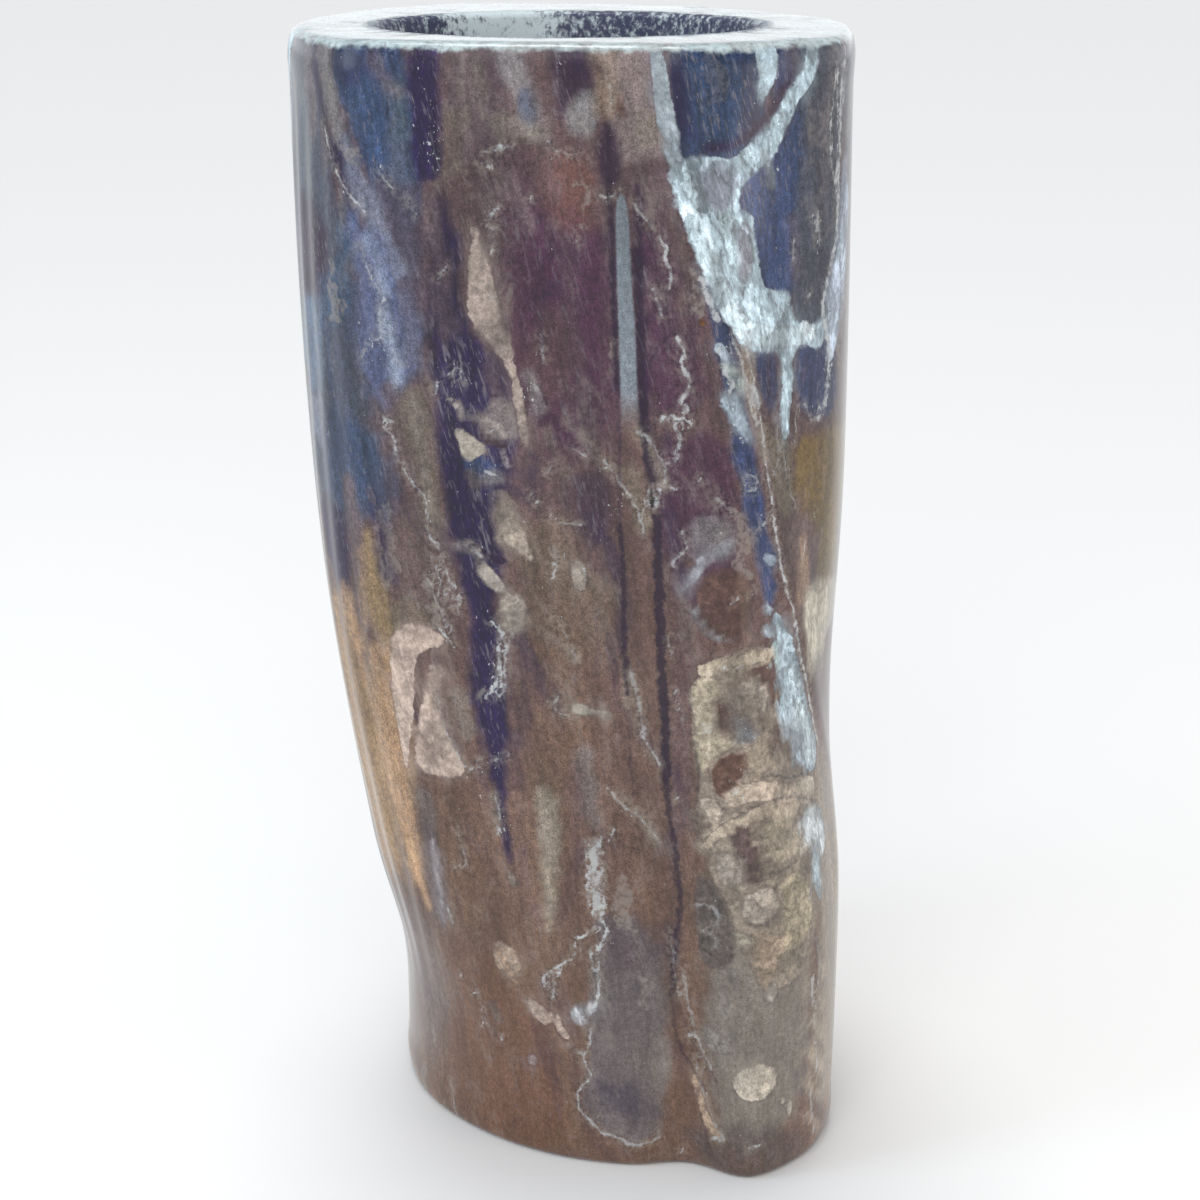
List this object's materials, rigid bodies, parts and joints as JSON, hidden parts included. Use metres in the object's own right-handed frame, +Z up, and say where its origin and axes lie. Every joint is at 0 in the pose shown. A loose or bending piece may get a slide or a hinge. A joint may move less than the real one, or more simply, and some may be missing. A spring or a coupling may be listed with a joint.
{
  "type": "fossil stone vessel",
  "caption": "Tall polished vessel hollowed from one uneven block of dark fossil limestone, wide at the flat rim and narrower at the foot.",
  "frame": {"origin": "on the floor, under the middle of the vessel's bounding box", "axes": "+Z up from the foot to the rim, -Y towards the face with the long straight shell"},
  "size_m": [0.2477, 0.2616, 0.5],
  "materials": {
    "fossil_limestone": "polished outside and on the rim, with white calcite veins and pale fossil shells in dark brown limestone; left rough inside"
  },
  "bodies": {
    "root": {"fossil_stone_vessel": "fossil_limestone"}
  },
  "joints": []
}
